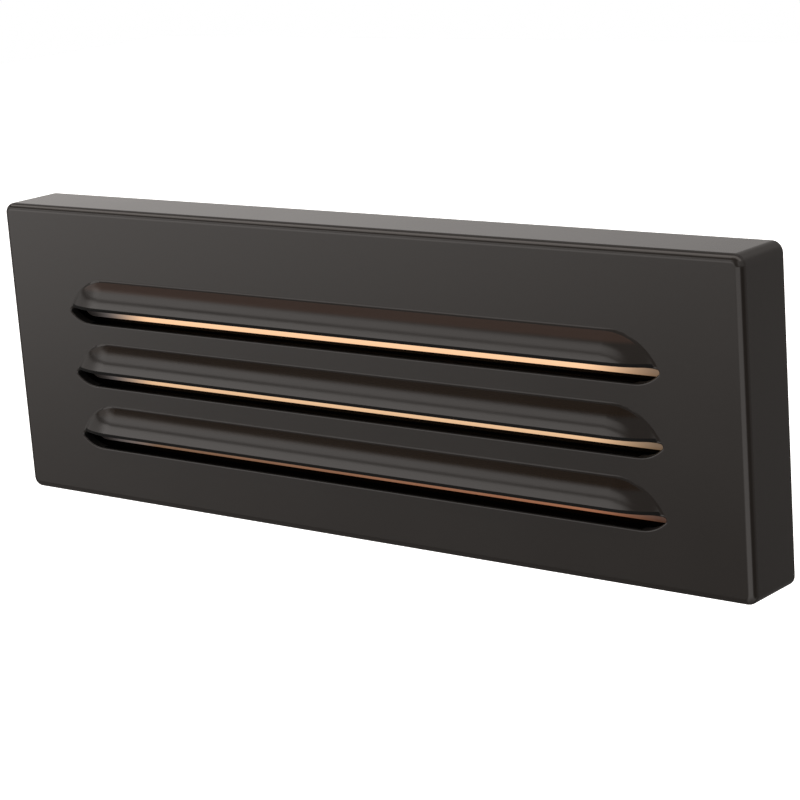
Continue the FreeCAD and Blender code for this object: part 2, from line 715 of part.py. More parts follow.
def make_tray():
    """White moulded tray that throws the light forward, cut away round what passes it."""
    tray = new_body("reflector_tray")
    margin, wall = size("tray_margin") * 2, size("tray_wall")
    wide, tall = lens_wide() + margin, lens_tall() + margin
    slope = size("tray_slope")
    outline = new_sketch(tray, pan_front())
    rounded(outline, wide, tall, up=-size("lens_below"), corner=size("pan_round"))
    raise_pad(tray, outline, size("tray_deep"))
    inside = new_sketch(tray, pan_front() + size("tray_deep"))
    rounded(inside, wide - wall * 2, tall - wall * 2, up=-size("lens_below"),
            corner=size("pan_round") / 2)
    cut_pocket(tray, inside, size("tray_deep") - wall, outward=False, slope=-slope)
    holes = new_sketch(tray, pan_front())
    gap = size("tray_gap") * 2
    rounded(holes, board_wide() + gap, size("board_tall") + gap, up=size("board_height"))
    for side in (-1, 1):
        slot_hole(holes, size("mount_slot_long") + size("mount_slot_radius") * 3,
                  size("mount_slot_radius") * 2.2, size("mount_spacing") / 2 * side)
    ground = size("ground_head") + gap / 2
    round_hole(holes, ground, size("ground_right"), -size("ground_drop"))
    for right, up in case_screw_places():
        round_hole(holes, size("small_head") + gap / 2, right, up)
    round_hole(holes, size("grommet_radius") + size("grommet_lip") + gap / 2, up=size("lead_height"))
    cut_pocket(tray, holes, size("tray_deep") * 1.1)
    return tray


# -------------------------------------------------------------- light engine

def board_wide():
    return size("led_pitch") * (SIZES["led_per_side"] * 2 - 1) + size("board_end") * 2


def make_thermal_pad():
    """Heat-conducting pad under the lamp board."""
    pad = new_body("thermal_pad")
    outline = new_sketch(pad, pan_front())
    rounded(outline, board_wide(), size("board_tall"), up=size("board_height"))
    for right, up in board_screw_places():
        round_hole(outline, screw_hole(), right, up)
    raise_pad(pad, outline, size("thermal_thick"))
    return pad


def make_lamp_board():
    """Aluminium circuit board for the lamps."""
    board = new_body("lamp_board")
    outline = new_sketch(board, pan_front() + size("thermal_thick"))
    rounded(outline, board_wide(), size("board_tall"), up=size("board_height"))
    for right, up in board_screw_places():
        round_hole(outline, screw_hole(), right, up)
    raise_pad(board, outline, size("board_thick"))
    return board


def board_front():
    return pan_front() + size("thermal_thick") + size("board_thick")


def make_lamps():
    """Row of surface-mounted lamps, even about the middle."""
    solids = []
    for index in range(int(float(size("led_per_side")))):
        for side in (-1, 1):
            right = side * float(size("led_pitch")) * (index + 0.5)
            solids.append(slab(right, board_front(), size("board_height"), size("led_wide"),
                               size("led_thick"), size("led_tall")))
    return feature("lamps", Part.makeCompound(solids))


def make_board_plug():
    """Two-pole socket on the lamp board, open downward to the leads."""
    body = slab(0, board_front(), size("board_height"),
                size("plug_wide"), size("plug_deep"), size("plug_tall"))
    return feature("board_connector", body)


# --------------------------------------------------------------------- leads

def make_lead(side):
    """Insulated lead from the driver circuit through the grommet up to the connector."""
    right = side * float(size("lead_spread")) / 2
    bend, low = float(size("lead_bend")), float(size("lead_height"))
    top = float(size("board_height")) - float(size("plug_tall")) / 2
    out = float(size("lead_out"))
    start = place(right, -float(size("case_floor") + size("circuit_rise") - size("gasket_thick")), low)
    corner_in, corner_out = place(right, out - bend, low), place(right, out, low + bend)
    reach = bend * math.sin(math.pi / 4)
    middle = place(right, out - bend + reach, low + bend - reach)
    path = Part.Wire([Part.makeLine(start, corner_in), Part.Arc(corner_in, middle, corner_out).toShape(),
                      Part.makeLine(corner_out, place(right, out, top))])
    ring = Part.Wire(Part.makeCircle(float(size("lead_radius")), start, OUTWARD))
    name = "positive" if side > 0 else "negative"
    return feature(f"lead_{name}", path.makePipeShell([ring], True, False))


def make_grommet():
    """Rubber bush with a lip on each side of the pan and the driver's floor."""
    neck, lip, rise = (float(size(name)) for name in ("grommet_radius", "grommet_lip", "grommet_rise"))
    back = float(size("gasket_thick") - size("case_floor"))
    front, level = float(pan_front()), float(size("lead_height"))
    bush = rod(neck, front - back, place(0, back, level), OUTWARD)
    bush = bush.fuse([rod(neck + lip, rise, place(0, front, level), OUTWARD),
                      rod(neck + lip, rise, place(0, back, level), INWARD)])
    for side in (-1, 1):
        right = side * float(size("lead_spread")) / 2
        hole = rod(size("lead_radius") + size("hole_gap"), front - back + 2 * (rise + OVERLAP),
                   place(right, back - rise - OVERLAP, level), OUTWARD)
        bush = bush.cut(hole)
    return feature("lead_grommet", bush)


def make_ground_screw():
    """Hexagon-headed earth screw through the pan."""
    seat = place(size("ground_right"), pan_front(), -float(size("ground_drop")))
    head, tall = float(size("ground_head")), float(size("ground_head_tall"))
    corners = []
    for index in range(7):
        angle = math.radians(60 * index)
        corners.append(seat + FreeCAD.Vector(head * math.cos(angle), 0, head * math.sin(angle)))
    body = Part.Face(Part.makePolygon(corners)).extrude(OUTWARD * tall)
    body = body.common(Part.makeCone(head * 1.25, head * 0.9, tall, seat, OUTWARD))
    shank = rod(size("ground_radius"), size("ground_long"), seat, INWARD)
    return feature("ground_screw", body.fuse(shank))


# -------------------------------------------------------------------- driver

def case_front():
    return size("gasket_thick")


def case_back():
    return case_front() - size("case_deep")


def make_case():
    """Moulded driver case, open toward the inside of the wall box."""
    case = new_body("driver_case")
    outline = new_sketch(case, case_back())
    rounded(outline, size("case_wide"), size("case_tall"), corner=size("case_round"))
    raise_pad(case, outline, size("case_deep"))
    inside = new_sketch(case, case_back())
    wall = size("case_wall") * 2
    rounded(inside, size("case_wide") - wall, size("case_tall") - wall, corner=size("case_round") / 2)
    cut_pocket(case, inside, size("case_deep") - size("case_floor"))
    floor = float(case_front() - size("case_floor"))
    back = float(case_back())
    reach = float(size("case_wide") / 2 - size("post_inset"))
    added, removed = [case], []
    low, post_long = -float(size("case_screw_drop")), size("case_post_long")
    rise, pin_long = float(size("circuit_rise")), size("circuit_thick") + size("pin_proud")
    for side in (-1, 1):
        lid_post = rod(size("post_radius"), floor + OVERLAP - back, place(side * reach, back, 0), OUTWARD)
        hole = rod(screw_hole(), size("small_long") + OVERLAP * 2,
                   place(side * reach, back - OVERLAP, 0), OUTWARD)
        added.append(feature("lid_post", lid_post))
        removed.append(feature("lid_post_hole", hole))
        post = rod(size("post_radius"), post_long, place(side * reach, floor + OVERLAP, low), INWARD)
        hole = rod(screw_hole(), post_long, place(side * reach, case_front() + BITE, low), INWARD)
        added.append(feature("case_post", post))
        removed.append(feature("case_post_hole", hole))
        for level in (-1, 1):
            right, up = size("stake_wide") / 2 * side, size("stake_tall") / 2 * level
            stake = rod(size("stake_radius"), rise + OVERLAP, place(right, floor + OVERLAP, up), INWARD)
            pin = rod(size("stake_pin"), pin_long + OVERLAP,
                      place(right, floor - rise + OVERLAP, up), INWARD)
            added += [feature("circuit_stake", stake), feature("circuit_pin", pin)]
    lead_hole = rod(size("grommet_radius") + size("hole_gap"), size("case_floor") + OVERLAP * 2,
                    place(0, floor - OVERLAP, size("lead_height")), OUTWARD)
    removed.append(feature("lead_hole", lead_hole))
    solid = doc.addObject("Part::MultiFuse", "driver_case_solid")
    solid.Shapes = added
    holes = doc.addObject("Part::MultiFuse", "driver_case_holes")
    holes.Shapes = removed
    finished = doc.addObject("Part::Cut", "driver_case_cut")
    finished.Base, finished.Tool = solid, holes
    finished.Refine = True
    case.Label = "driver_case_shell"
    finished.Label = "driver_case"
    return finished


def circuit_back():
    """Distance out of the wall of the driver circuit's component side."""
    return case_front() - size("case_floor") - size("circuit_rise") - size("circuit_thick")


def make_circuit():
    circuit = new_body("driver_circuit")
    outline = new_sketch(circuit, circuit_back())
    edge = size("circuit_edge") * 2
    rounded(outline, size("stake_wide") + edge, size("stake_tall") + edge)
    for side in (-1, 1):
        for level in (-1, 1):
            round_hole(outline, size("stake_pin") + size("hole_gap"),
                       size("stake_wide") / 2 * side, size("stake_tall") / 2 * level)
    raise_pad(circuit, outline, size("circuit_thick"))
    return circuit


def make_transformer():
    """Ferrite core round a wound bobbin, standing on the circuit."""
    back, deep = circuit_back(), float(size("core_deep"))
    wide, tall = float(size("core_wide")), float(size("core_tall"))
    bobbin, proud = float(size("bobbin_wide")), float(size("bobbin_proud"))
    right, up = float(size("core_right")), float(size("core_up"))
    core = slab(right, float(back) - deep, up, wide, deep, tall)
    winding = slab(right, float(back) - deep + proud, up, bobbin, deep - proud * 2, tall + proud * 2)
    rounds = [edge for edge in winding.Edges if abs(edge.Vertexes[0].X - edge.Vertexes[1].X) > 1]
    winding = winding.makeFillet(float(size("bobbin_round")), rounds)
    return feature("driver_transformer", core.cut(winding)), feature("transformer_winding", winding)


def make_capacitor():
    """Upright round capacitor on the circuit."""
    radius, long = float(size("capacitor_radius")), float(size("capacitor_long"))
    can = rod(radius, long, place(size("capacitor_right"), circuit_back(), size("capacitor_up")), INWARD)
    far_end = long - float(circuit_back()) - OVERLAP
    far = [edge for edge in can.Edges if edge.Closed and edge.CenterOfMass.y > far_end]
    return feature("driver_capacitor", can.makeFillet(radius / 5, far))


def make_choke():
    """Small wound choke on the circuit."""
    spot = place(size("choke_right"), circuit_back(), size("choke_up"))
    return feature("driver_choke", rod(size("choke_radius"), size("choke_long"), spot, INWARD))


def make_lid():
    """Flat lid on the driver case with a window for the supply terminal."""
    lid = new_body("driver_lid")
    outline = new_sketch(lid, case_back() - size("lid_thick"))
    rounded(outline, size("case_wide"), size("case_tall"), corner=size("case_round"))
    gap = size("part_gap")
    rounded(outline, terminal_wide() + gap, size("terminal_tall") + gap, up=terminal_level())
    reach = size("case_wide") / 2 - size("post_inset")
    for side in (-1, 1):
        round_hole(outline, screw_hole(), reach * side)
    raise_pad(lid, outline, size("lid_thick"))
    return lid


def terminal_level():
    return size("case_tall") / -6


def terminal_wide():
    return size("entry_pitch") * size("pole_count")


def make_terminal():
    """Three one-pole push-in modules side by side, their wire entries facing into the wall box."""
    tall, deep = size("terminal_tall"), size("terminal_deep")
    mouth_out = case_back() - size("lid_thick") - deep
    flange, lip = size("flange_thick"), size("flange_lip")
    pitch, last = size("entry_pitch"), int(SIZES["pole_count"]) - 1
    modules = []
    for index in range(last + 1):
        right = pitch * (index - last / 2)
        module = slab(right, mouth_out, terminal_level(), pitch, deep + size("lid_thick"), tall)
        # the end modules have a lip on their outer side too
        side = lip * ((index == last) - (index == 0))
        edge = slab(right + side / 2, mouth_out + deep - flange, terminal_level(),
                    pitch + abs(float(side)), flange, tall + lip * 2)
        entry = rod(size("entry_radius"), size("entry_deep"),
                    place(right, mouth_out, terminal_level()), OUTWARD)
        modules.append(module.fuse(edge).cut(entry))
    return feature("supply_terminal", Part.makeCompound(modules))


def make_supply_wires():
    """Three short wires between the terminal and the circuit."""
    solids = []
    start, end = float(case_back()), float(circuit_back())
    for index in (-1, 0, 1):
        spot = place(index * float(size("entry_pitch")), start, terminal_level())
        solids.append(rod(size("wire_radius"), end - start, spot, OUTWARD))
    return feature("supply_wires", Part.makeCompound(solids))


# ------------------------------------------------------------------ assembly

pieces = [
    make_cover(), make_lens_seal(), make_lens(), make_lens_frame(), make_frame_screws(),
    make_set_screw(-1), make_set_screw(1),
    make_pan(), make_wall_gasket(), make_tray(), make_thermal_pad(), make_lamp_board(), make_lamps(),
    small_screws("board_screws", [(x, z, INWARD) for x, z in board_screw_places()], board_front()),
    make_board_plug(), make_lead(1), make_lead(-1), make_grommet(), make_ground_screw(),
    make_case(),
    small_screws("driver_case_screws", [(x, z, INWARD) for x, z in case_screw_places()],
                 pan_front(), size("case_screw_long")),
    make_circuit(), *make_transformer(), make_capacitor(), make_choke(),
    make_lid(),
    small_screws("driver_lid_screws",
                 [(float(size("case_wide") / 2 - size("post_inset")) * side, 0, OUTWARD) for side in (-1, 1)],
                 case_back() - size("lid_thick")),
    make_terminal(), make_supply_wires(),
]
doc.recompute()

for thing in doc.Objects:
    if {"Invalid", "Error"} & set(thing.State):
        raise RuntimeError(f"{thing.Label} failed to build")
for piece in pieces:
    if piece.Shape.isNull() or not piece.Shape.isValid():
        raise RuntimeError(f"{piece.Label} has no valid shape")

os.makedirs("parts", exist_ok=True)
for piece in pieces:
    piece.Shape.exportStep(f"parts/{piece.Label}.step")
    box = piece.Shape.BoundBox
    print(f"{piece.Label:22s} solids {len(piece.Shape.Solids):2d}  "
          f"x {box.XMin:7.1f} {box.XMax:7.1f}  y {box.YMin:6.1f} {box.YMax:6.1f}  "
          f"z {box.ZMin:6.1f} {box.ZMax:6.1f}")
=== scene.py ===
# %% [markdown]
# # A louvred step light for an outdoor wall
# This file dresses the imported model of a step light: a shallow cast cover in
# dark bronze paint with three outward hoods, a glowing lens behind them, and
# the pan, lamp board and driver that the cover hides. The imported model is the
# frame. It gives every solid its true place, so the work here is finishes,
# small modelled details, light and the camera.

# %% Load the frame
import math

import bmesh
import bpy
from mathutils import Matrix, Vector


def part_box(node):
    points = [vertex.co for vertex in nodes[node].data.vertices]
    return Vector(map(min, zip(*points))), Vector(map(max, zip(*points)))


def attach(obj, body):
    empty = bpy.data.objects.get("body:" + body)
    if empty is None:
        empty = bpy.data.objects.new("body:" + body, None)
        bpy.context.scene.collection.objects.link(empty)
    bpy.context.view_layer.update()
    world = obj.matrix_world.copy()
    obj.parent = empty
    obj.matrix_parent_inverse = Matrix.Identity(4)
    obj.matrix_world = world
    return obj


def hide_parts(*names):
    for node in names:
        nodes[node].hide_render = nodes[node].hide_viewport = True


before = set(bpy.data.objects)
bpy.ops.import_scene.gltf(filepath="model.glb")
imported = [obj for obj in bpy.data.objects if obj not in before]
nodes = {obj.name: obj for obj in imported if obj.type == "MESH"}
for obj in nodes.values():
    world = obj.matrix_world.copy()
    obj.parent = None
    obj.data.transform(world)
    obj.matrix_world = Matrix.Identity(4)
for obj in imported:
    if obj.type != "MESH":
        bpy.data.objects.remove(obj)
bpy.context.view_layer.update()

MM = 0.001

# %% [markdown]
# ## The camera
# The photograph is a close product shot from the right of the light and a
# little above it. A camera could be turned by eye until the picture fits, but
# here its place, direction and lens come from solving the perspective of the
# cover's box from the corners that show. The camera also leans a few degrees,
# so the turn about its own line of sight is part of the answer.

# %% Place the camera
CAMERA_PLACE = Vector((395.47, -468.47, 142.18)) * MM
CAMERA_RIGHT = Vector((0.776344, 0.626306, -0.070930))
CAMERA_UP = Vector((-0.095969, 0.228673, 0.968761))
CAMERA_LENS, SENSOR_WIDE, NEAREST_SEEN = 115.07, 36, 0.01

bpy.ops.object.select_all(action="DESELECT")
bpy.ops.object.camera_add()
camera = bpy.context.object
camera.name = "camera"
turn = Matrix((CAMERA_RIGHT, CAMERA_UP, CAMERA_RIGHT.cross(CAMERA_UP))).transposed()
camera.matrix_world = Matrix.Translation(CAMERA_PLACE) @ turn.to_4x4()
camera.data.sensor_width = SENSOR_WIDE
camera.data.lens = CAMERA_LENS
camera.data.clip_start = NEAREST_SEEN
bpy.context.scene.camera = camera
print(f"camera {CAMERA_PLACE.length:.3f} m from the middle of the light")

# %% [markdown]
# ## Tools for finishes
# A finish on a real object is never one flat colour. Paint pools and thins,
# cast metal ripples, rubber has a bloom. Each finish here starts from the same
# small kit: a pattern in object coordinates, which stays put on the piece when
# it moves, then a colour, a gloss and a relief that follow the pattern. The
# studio's surroundings are built with the same kit, so its first half knows
# nothing of materials.


# %% Node helpers
def opaque(value):
    """A colour of three numbers gets its fourth."""
    return (*value, 1.0) if isinstance(value, tuple) and len(value) == 3 else value


class Nodes:
    """A node tree that grows call by call, with one vector that its patterns start from."""

    def node(self, kind, *feeds, **settings):
        """Add a node; feeds go to its inputs in order, and settings by name."""
        made = self.tree.nodes.new("ShaderNode" + kind)
        for key, value in settings.items():
            setattr(made, key, value)
        for index, feed in enumerate(feeds):
            self.feed(made.inputs[index], feed)
        return made

    def feed(self, socket, value):
        """Put a number, a colour or another node's output into a socket."""
        if isinstance(value, bpy.types.NodeSocket):
            self.tree.links.new(value, socket)
        else:
            socket.default_value = value

    def calc(self, kind, *terms, clamp=False):
        """One step of arithmetic on numbers or outputs."""
        return self.node("Math", *terms, operation=kind, use_clamp=clamp).outputs[0]

    def times(self, first, *others):
        """The product of several numbers or outputs."""
        for other in others:
            first = self.calc("MULTIPLY", first, other)
        return first

    def above(self, value, limit):
        """1 where the value is over the limit, and 0 elsewhere."""
        return self.calc("GREATER_THAN", value, limit)

    def below(self, value, limit):
        """1 where the value is under the limit, and 0 elsewhere."""
        return self.calc("LESS_THAN", value, limit)

    def near(self, value, middle, reach):
        """1 where the value lies within reach of the middle, and 0 elsewhere."""
        return self.below(self.calc("ABSOLUTE", self.calc("SUBTRACT", value, middle)), reach)

    def spread(self, value, low, high, to_low=0.0, to_high=1.0, kind="LINEAR"):
        """Carry a range of a pattern onto another range, and stop at its ends."""
        made = self.node("MapRange", value, low, high, to_low, to_high, interpolation_type=kind)
        return made.outputs[0]

    def ease(self, value, low, high, to_low=0.0, to_high=1.0):
        """A spread that starts and ends softly."""
        return self.spread(value, low, high, to_low, to_high, "SMOOTHSTEP")

    def sway(self, cloudy, to_low, to_high):
        """Carry the middle of a noise, where nearly all of it lies, onto a range."""
        return self.spread(cloudy, 0.3, 0.7, to_low, to_high)

    def blend(self, amount, first, second, kind="MIX"):
        """Mix two colours."""
        made = self.node("Mix", data_type="RGBA", blend_type=kind)
        self.feed(made.inputs["Factor"], amount)
        self.feed(made.inputs["A"], opaque(first))
        self.feed(made.inputs["B"], opaque(second))
        return made.outputs["Result"]

    def ramp(self, value, *stops):
        """Colours or greys along a value; each stop is (place, colour)."""
        made = self.node("ValToRGB", value)
        elements = made.color_ramp.elements
        while len(elements) < len(stops):
            elements.new(0.5)
        for element, (spot, colour) in zip(elements, stops):
            element.position = spot
            element.color = opaque(colour if isinstance(colour, tuple) else (colour,) * 3)
        return made.outputs["Color"]

    def axes(self):
        """The starting vector as three numbers."""
        return self.node("SeparateXYZ", self.place).outputs


# %% Surface helpers
class Finish(Nodes):
    """A material for a surface."""

    def __init__(self, name):
        self.material = bpy.data.materials.new(name)
        self.material.use_nodes = True
        self.tree = self.material.node_tree
        self.shader = self.tree.nodes["Principled BSDF"]
        self.place = self.tree.nodes.new("ShaderNodeTexCoord").outputs["Object"]

    def stretched(self, scale):
        """The object coordinates drawn out along some axes."""
        node = self.node("Mapping", self.place)
        node.inputs["Scale"].default_value = scale
        return node.outputs[0]

    def noise(self, scale, detail=3.0, place=None):
        """Cloudy pattern; scale is in cells per metre."""
        made = self.node("TexNoise")
        self.feed(made.inputs["Vector"], place or self.place)
        made.inputs["Scale"].default_value = scale
        made.inputs["Detail"].default_value = detail
        return made.outputs["Fac"]

    def cells(self, scale, feature="F1", output="Distance"):
        """Cellular pattern; scale is in cells per metre."""
        made = self.node("TexVoronoi", feature=feature)
        self.feed(made.inputs["Vector"], self.place)
        made.inputs["Scale"].default_value = scale
        return made.outputs[output]

    def relief(self, height, depth, strength):
        """Small relief; depth is in metres."""
        made = self.node("Bump")
        made.inputs["Strength"].default_value = strength
        made.inputs["Distance"].default_value = depth
        self.feed(made.inputs["Height"], height)
        return made.outputs[0]

    def set(self, **values):
        """Feed the shader's sockets, with underscores for the spaces in their names."""
        for key, value in values.items():
            self.feed(self.shader.inputs[key.replace("_", " ")], opaque(value))


def dress(finish, *names):
    """Give a finish to CAD nodes, in place of the plain one they came with."""
    for name in names:
        slots = nodes[name].data.materials
        slots.clear()
        slots.append(finish.material)
    print(f"{finish.material.name}: {', '.join(names)}")


# %% [markdown]
# ## The bronze paint
# The cover is an aluminium casting under a satin powder coat, in a brown that
# is nearly black. Powder melts into a skin with a faint ripple, called orange
# peel, and the colour hardly changes over it. What changes is the gloss, so the
# ripple goes into the relief and a slow cloud goes into the roughness. Inside
# the cover, in the slots and along each hood's lip, shade is painted in: the
# paint is made matt and nearly black there, or the lit lens would mirror in
# every ledge. The upper part of each hood gets painted shade in brown, deepest
# on the two lower hoods. The louvres repeat, so one height, counted afresh from
# each lip, serves all three.

# %% Name the cover's sizes
LOUVRES, LOUVRE_PITCH, TOP_SILL, SLOT_TALL = 3, 16.8 * MM, 8.6 * MM, 4.05 * MM
SILLS = [TOP_SILL - number * LOUVRE_PITCH for number in range(LOUVRES)]
LOWEST_LIP = SILLS[-1] + SLOT_TALL
# Heights for the painted shade: a dark line along each lip, and a brown band on each hood's upper
# part.
LIP_SHADE, HOOD_SHADE_FROM, HOOD_SHADE_FULL = 0.9 * MM, 4.6 * MM, 5.8 * MM
LOWER_HOODS, TOP_HOOD = 5 * MM, 11 * MM

FACE, COVER_WALL = -17 * MM, 2.8 * MM
BEHIND_FACE, BEFORE_FACE = FACE + 0.2 * MM, FACE - 0.3 * MM
COVER_WIDE, COVER_TALL = 228 * MM, 78 * MM
INSIDE_WIDE, INSIDE_TALL = COVER_WIDE / 2 - COVER_WALL, COVER_TALL / 2 - COVER_WALL
print(f"sills at {', '.join(f'{sill / MM:.1f}' for sill in SILLS)} mm")

# %% Find the hoods, the inside and the painted shade
paint = Finish("bronze_paint")
across, deep, upward = paint.axes()

louvres_up = paint.calc("DIVIDE", paint.calc("SUBTRACT", upward, LOWEST_LIP), LOUVRE_PITCH)
over_lip = paint.times(paint.calc("FRACT", louvres_up), LOUVRE_PITCH)
on_hood = paint.below(deep, BEFORE_FACE)
# Painted shade: the upper part of each hood turns brown.
hood_painted_shade = paint.times(on_hood, paint.ease(over_lip, HOOD_SHADE_FROM, HOOD_SHADE_FULL))
# Painted shade: a dark line along the lip of each hood.
lip_painted_shade = paint.times(on_hood, paint.below(over_lip, LIP_SHADE))

# The inside of the cover and its slots, where the paint is made black as painted shade.
within_walls = paint.times(paint.near(across, 0, INSIDE_WIDE), paint.near(upward, 0, INSIDE_TALL))
inside = paint.times(within_walls, paint.above(deep, BEHIND_FACE))
painted_black_shade = paint.calc("MAXIMUM", inside, lip_painted_shade)
print(f"inside: {INSIDE_WIDE / MM:.1f} mm to each side, {INSIDE_TALL / MM:.1f} mm up and down")

# %% Make the bronze paint
RIPPLES, CLOUDS = 900, 28

ripple = paint.noise(RIPPLES, 2.0)
cloud = paint.noise(CLOUDS)
skin = paint.blend(cloud, (0.0225, 0.0192, 0.0170), (0.0265, 0.0228, 0.0204))
# The painted shade's brown, deeper on the two lower hoods than on the top one.
top_one = paint.spread(upward, LOWER_HOODS, TOP_HOOD)
hood_shade_colour = paint.blend(top_one, (0.018, 0.0105, 0.0055), (0.052, 0.034, 0.027))
outside = paint.blend(hood_painted_shade, skin, hood_shade_colour)
paint.set(
    # Where shade is painted, the paint is nearly black and fully matt.
    Base_Color=paint.blend(painted_black_shade, outside, (0.0008, 0.0007, 0.0006)),
    Roughness=paint.calc("MAXIMUM", paint.sway(cloud, 0.12, 0.16), painted_black_shade),
    Specular_IOR_Level=0.5,
    Normal=paint.relief(ripple, depth=0.02 * MM, strength=0.25),
)
dress(paint, "cover")

# %% [markdown]
# ## The glow
# The lens is opal acrylic, with a row of lamps behind its upper half. Its
# glow is painted on as an emission set by place, and is not light from the
# lamp models. A picture of the light could be painted on, but a few soft fades
# are enough. The glow is strongest at the top and fades towards the bottom,
# where it is redder and brighter on the right. From about the last lamp on the
# left it turns grey and goes dark, and at the right end it only dims.

# %% Find the ends of the glow
GLOW_BOTTOM, GLOW_TOP = -30 * MM, 20 * MM
RED_FULL, RED_GONE, RED_LEFT, RED_RIGHT = -26 * MM, -15 * MM, -80 * MM, 80 * MM
LEFT_DARK, LEFT_LIT, GREY_FULL, GREY_GONE = -90 * MM, -66 * MM, -84 * MM, -70 * MM
RIGHT_LIT, RIGHT_DIM = 66 * MM, 90 * MM

glow = Finish("opal_acrylic")
across, deep, upward = glow.axes()
height = glow.spread(upward, GLOW_BOTTOM, GLOW_TOP)
low_part = glow.spread(upward, RED_FULL, RED_GONE, 1.0, 0.0)
reddened = glow.times(glow.spread(across, RED_LEFT, RED_RIGHT), low_part)
left_end = glow.ease(across, LEFT_DARK, LEFT_LIT, 0.03, 1.0)
right_end = glow.ease(across, RIGHT_LIT, RIGHT_DIM, 1.0, 0.16)
grey_end = glow.spread(across, GREY_FULL, GREY_GONE, 1.0, 0.0)
print(f"glow: {len(glow.tree.nodes)} nodes so far")

# %% Make the lit lens
warmth = glow.ramp(
    height,
    (0.0, (0.119, 0.0742, 0.0467)), (0.16, (0.18, 0.10, 0.055)),
    (0.46, (0.80, 0.50, 0.285)), (0.80, (1.0, 0.605, 0.345)),
)
warmer = glow.blend(reddened, warmth, (0.352, 0.127, 0.0612))
# The lens's glow is painted light: its colour and strength are set by place.
glow.set(
    Base_Color=(0.10, 0.09, 0.08),
    Roughness=glow.sway(glow.noise(300), 0.28, 0.36),
    Emission_Color=glow.blend(grey_end, warmer, (0.34, 0.29, 0.28)),
    Emission_Strength=glow.times(left_end, right_end),
)
dress(glow, "lens")

# %% [markdown]
# ## Foam and rubber
# Two soft rings keep water out. The seal behind the face is black foam whose
# cut surface has open pores. It is made nearly pure black, real black foam
# darkened further as painted shade for the slots it lines. The gasket on the
# wall is a greyer foam with a skin. The bush round the leads is plain moulded
# rubber, near enough to the gasket's skin to share its finish. Pores could be
# cut into the mesh, but there are thousands, so a cellular pattern in the
# relief stands for them.

# %% Make the foam and the rubber
PORES, SKIN_PORES, BLOOM = 1400, 900, 60

foam_and_shade = Finish("black_foam")
pores = foam_and_shade.cells(PORES)
foam_and_shade.set(
    # Nearly pure black: black foam, darkened further as painted shade.
    Base_Color=foam_and_shade.blend(pores, (0.0004, 0.0003, 0.0003), (0.0016, 0.0015, 0.0014)),
    Roughness=0.95,
    Specular_IOR_Level=0.02,
    Normal=foam_and_shade.relief(pores, depth=0.2 * MM, strength=0.6),
)

gasket = Finish("grey_rubber")
skin_pores = gasket.cells(SKIN_PORES)
bloom = gasket.noise(BLOOM)
gasket.set(
    Base_Color=gasket.blend(bloom, (0.030, 0.030, 0.032), (0.052, 0.052, 0.054)),
    Roughness=gasket.spread(skin_pores, 0.0, 0.6, 0.85, 0.65),
    Normal=gasket.relief(skin_pores, depth=0.15 * MM, strength=0.5),
)
dress(gasket, "wall_gasket", "lead_grommet")

# %% [markdown]
# ## The lens seal
# The seal is die-cut from a sheet of that black foam: a plate with a window
# behind each louvre. Foam is cut a little proud of the metal, so its lower edge
# shows over the sill as a black strip. A thin black sheet of the foam is laid
# forward on each sill as painted shade, so the sill shows black. A die-cut sheet
# is easiest to model as it is made: a block for the sheet, a rounded block for
# each punch, and a difference between them. The shade sheets are blocks joined
# to the seal.


# %% Shaping helpers
def start_piece(name, low, high):
    """A block between two corners, ready to be shaped in edit mode."""
    bpy.ops.object.select_all(action="DESELECT")
    middle, sides = (Vector(low) + Vector(high)) / 2, Vector(high) - Vector(low)
    bpy.ops.mesh.primitive_cube_add(size=1, location=middle, scale=sides)
    bpy.ops.object.transform_apply(location=True, rotation=True, scale=True)
    piece = bpy.context.object
    piece.name = piece.data.name = name
    return piece


def bevel_along(piece, axis, width, segments):
    """Round the edges of a block that run along one axis."""
    bpy.ops.object.mode_set(mode="EDIT")
    bpy.ops.mesh.select_mode(type="EDGE")
    bpy.ops.mesh.select_all(action="DESELECT")
    mesh = bmesh.from_edit_mesh(piece.data)
    for edge in mesh.edges:
        run = edge.verts[0].co - edge.verts[1].co
        edge.select_set(abs(run[axis]) > 0.99 * run.length)
    bmesh.update_edit_mesh(piece.data)
    bpy.ops.mesh.bevel(offset=width, segments=segments, affect="EDGES")
    bpy.ops.object.mode_set(mode="OBJECT")


def apply_modifier(piece, kind, **settings):
    """Add a modifier to a piece and apply it at once."""
    bpy.ops.object.select_all(action="DESELECT")
    piece.select_set(True)
    bpy.context.view_layer.objects.active = piece
    modifier = piece.modifiers.new(kind.lower(), kind)
    for key, value in settings.items():
        setattr(modifier, key, value)
    bpy.ops.object.modifier_apply(modifier=modifier.name)


def combine(piece, tool, operation):
    """Cut a block out of a piece, or join it on, and then remove the block."""
    apply_modifier(piece, "BOOLEAN", operation=operation, object=tool, solver="EXACT")
    bpy.data.objects.remove(tool, do_unlink=True)


# %% Punch the windows
SEAL_LIP, WINDOW_TALL, WINDOW_HALF, WINDOW_ROUND = 0.7 * MM, 9.5 * MM, 92.1 * MM, 3.6 * MM
ROUND_STEPS, PUNCH_PAST, DEPTH_AXIS = 6, 1 * MM, 1

seal_low, seal_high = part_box("lens_seal")
seal = start_piece("foam_seal", seal_low, seal_high)
for sill in SILLS:
    window_sill = sill + SEAL_LIP
    low = (-WINDOW_HALF, seal_low[1] - PUNCH_PAST, window_sill)
    high = (WINDOW_HALF, seal_high[1] + PUNCH_PAST, window_sill + WINDOW_TALL)
    punch = start_piece("punch", low, high)
    bevel_along(punch, DEPTH_AXIS, WINDOW_ROUND, ROUND_STEPS)
    combine(seal, punch, "DIFFERENCE")
print(f"seal with its windows: {len(seal.data.polygons)} faces")

